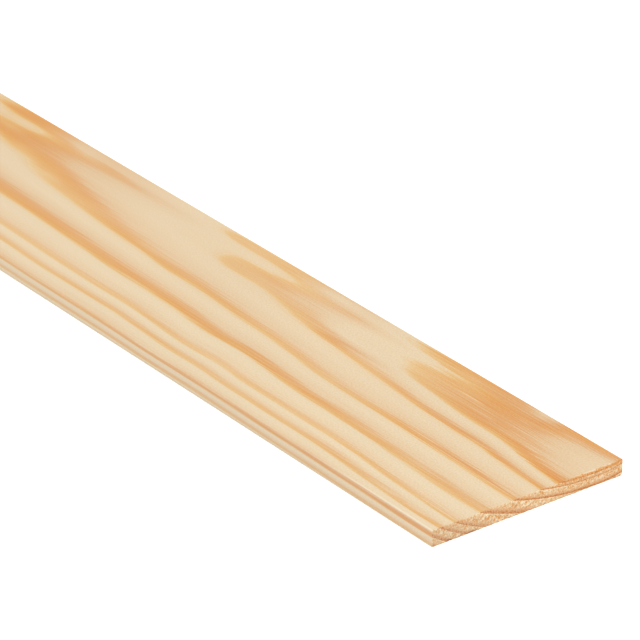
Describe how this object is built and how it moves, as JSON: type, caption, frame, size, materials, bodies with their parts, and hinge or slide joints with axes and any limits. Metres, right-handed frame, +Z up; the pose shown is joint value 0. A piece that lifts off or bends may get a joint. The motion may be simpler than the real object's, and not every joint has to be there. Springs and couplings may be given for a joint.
{
  "type": "rectangular wood strip",
  "caption": "Flat planed pine strip of rectangular section with lightly eased long edges and square sawn ends, used as trim, edging or cover strip.",
  "frame": {"origin": "middle of the underside, which lies on the floor", "axes": "+X along the length towards the near end of the picture, +Y across the width towards the back edge, +Z up through the thickness"},
  "size_m": [0.9, 0.065, 0.005],
  "materials": {
    "pine": "planed, untreated"
  },
  "bodies": {
    "root": {"wood_strip": "pine"}
  },
  "joints": []
}
